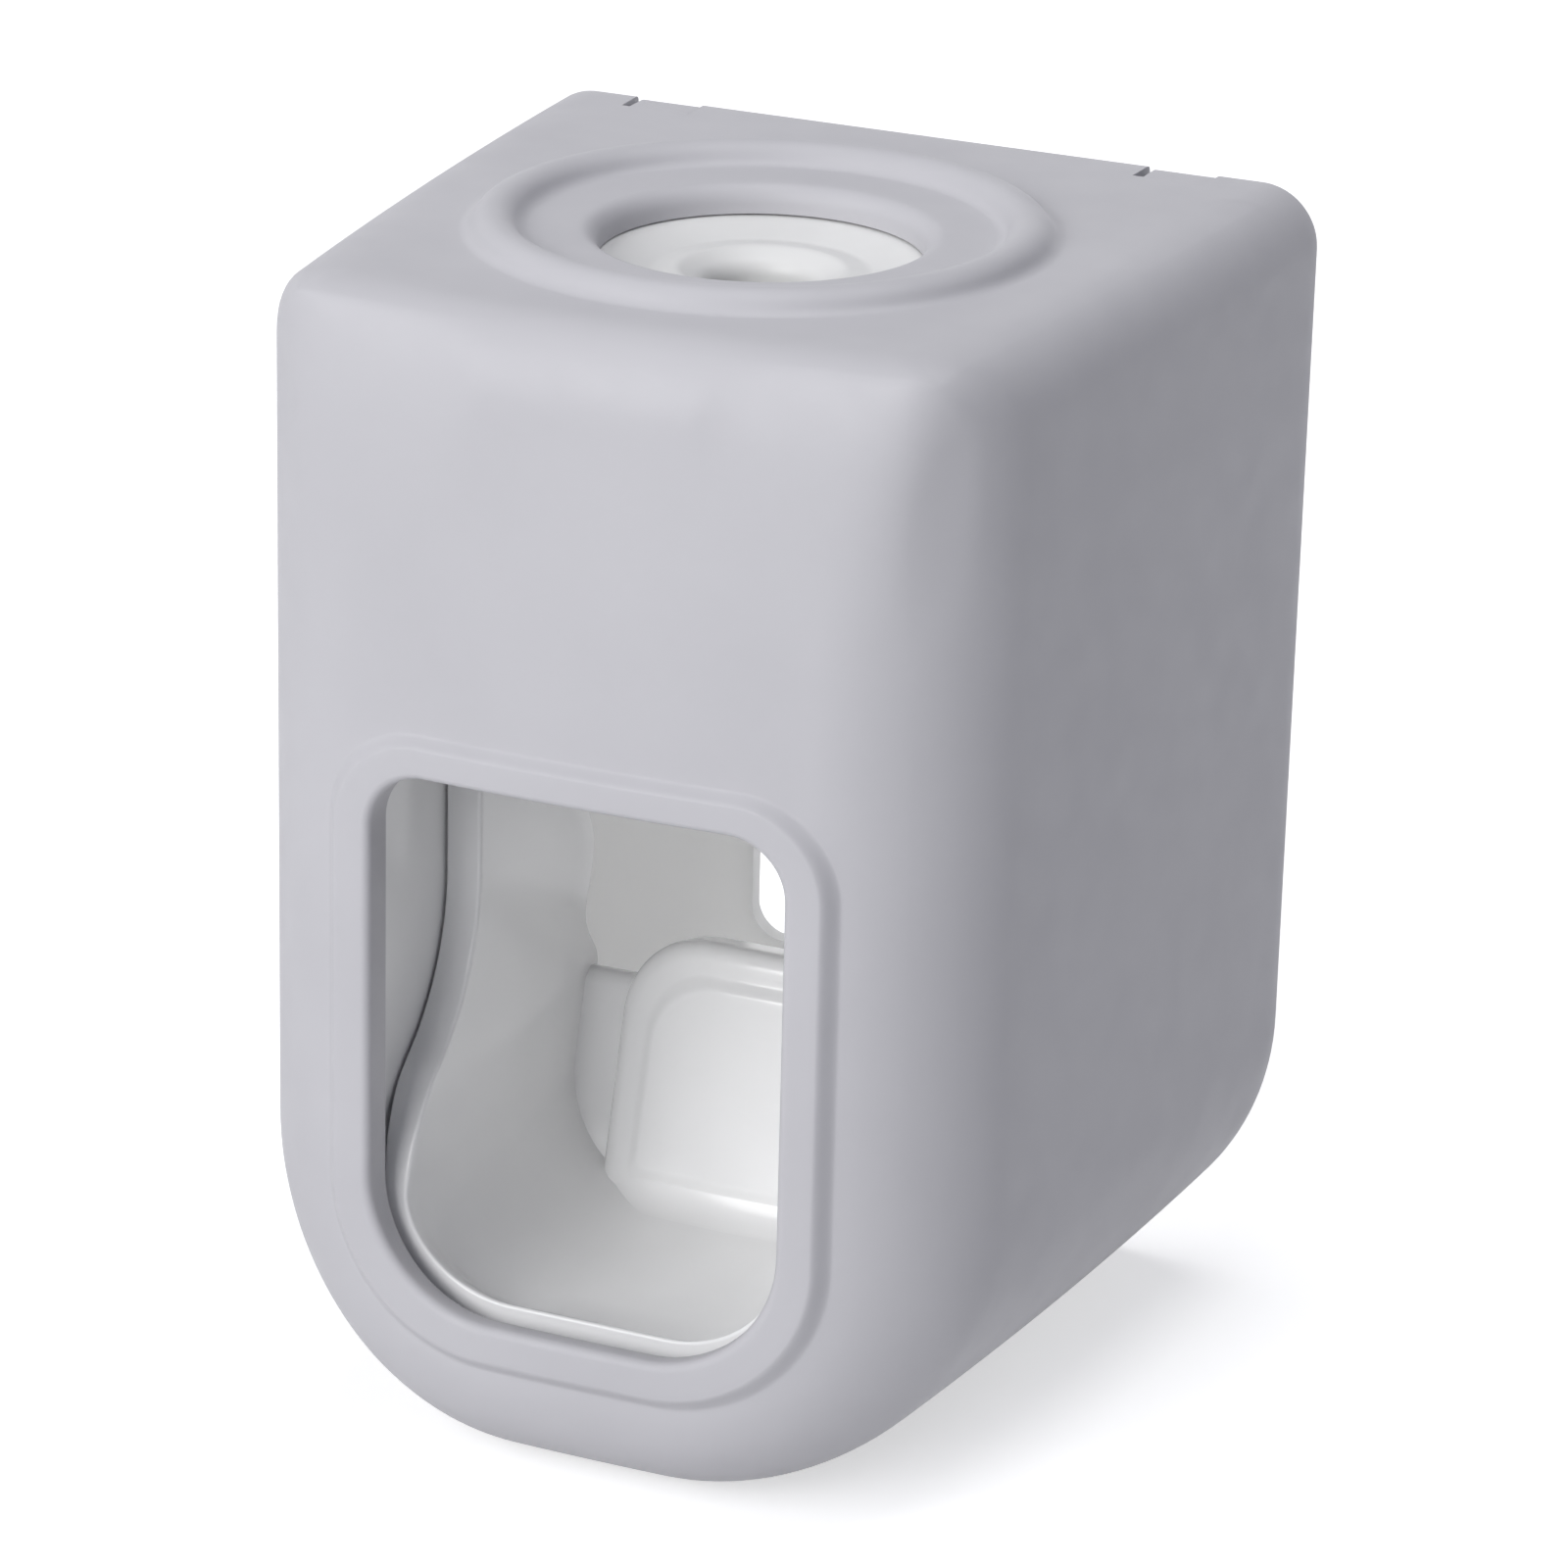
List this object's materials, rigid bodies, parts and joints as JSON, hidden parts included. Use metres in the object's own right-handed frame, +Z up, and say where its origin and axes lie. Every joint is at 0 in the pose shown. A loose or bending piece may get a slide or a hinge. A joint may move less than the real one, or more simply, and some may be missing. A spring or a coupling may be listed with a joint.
{
  "type": "toothpaste dispenser",
  "caption": "Wall-mounted toothpaste dispenser: rounded case with a mouth for the tube on top and a brush window whose paddle lever lifts a spring-loaded pump piston.",
  "frame": {"origin": "middle of the adhesive pad's wall face", "axes": "+Z up, +Y into the wall, +X to the right as seen from the front"},
  "size_m": [0.0724, 0.07, 0.1016],
  "materials": {
    "case_plastic": "fine matte moulded plastic, lavender grey",
    "white_plastic": "glossy moulded plastic, white",
    "silicone": "satin silicone, milky white",
    "steel": "drawn stainless steel",
    "foam": "closed-cell acrylic foam, white"
  },
  "bodies": {
    "housing": {"front_housing": "case_plastic", "adhesive_pad": "foam", "back_cover": "white_plastic", "pump_deck": "white_plastic", "frame_side_left": "white_plastic", "frame_side_right": "white_plastic", "pump_barrel": "white_plastic", "barrel_cap": "white_plastic", "valve_pin": "white_plastic", "tube_seal": "silicone", "inlet_valve": "silicone", "return_spring": "steel", "pivot_pin_left": "steel", "pivot_pin_right": "steel", "frame_screws": "steel"},
    "pump_slider": {"piston": "white_plastic", "piston_seal": "silicone", "lift_collar": "white_plastic", "outlet_nozzle": "white_plastic", "nozzle_valve": "silicone", "nozzle_ring": "white_plastic"},
    "lever": {"push_lever": "white_plastic"}
  },
  "joints": [
    {"name": "lever_push", "type": "hinge", "parent": "housing", "child": "lever", "pos_m": [0, -0.047, -0.00546], "axis": [1, 0, 0], "range_deg": [0, 13], "stiffness_Nm_per_rad": 0.13, "springref_deg": -23.89},
    {"name": "piston_lift", "type": "slide", "parent": "housing", "child": "pump_slider", "axis": [0, 0, 1], "range_m": [0, 0.00272], "deforming": ["return_spring"]}
  ],
  "couplings": [
    {"joint": "lever_push", "follows": "piston_lift", "rad_per_m": 83.333}
  ]
}
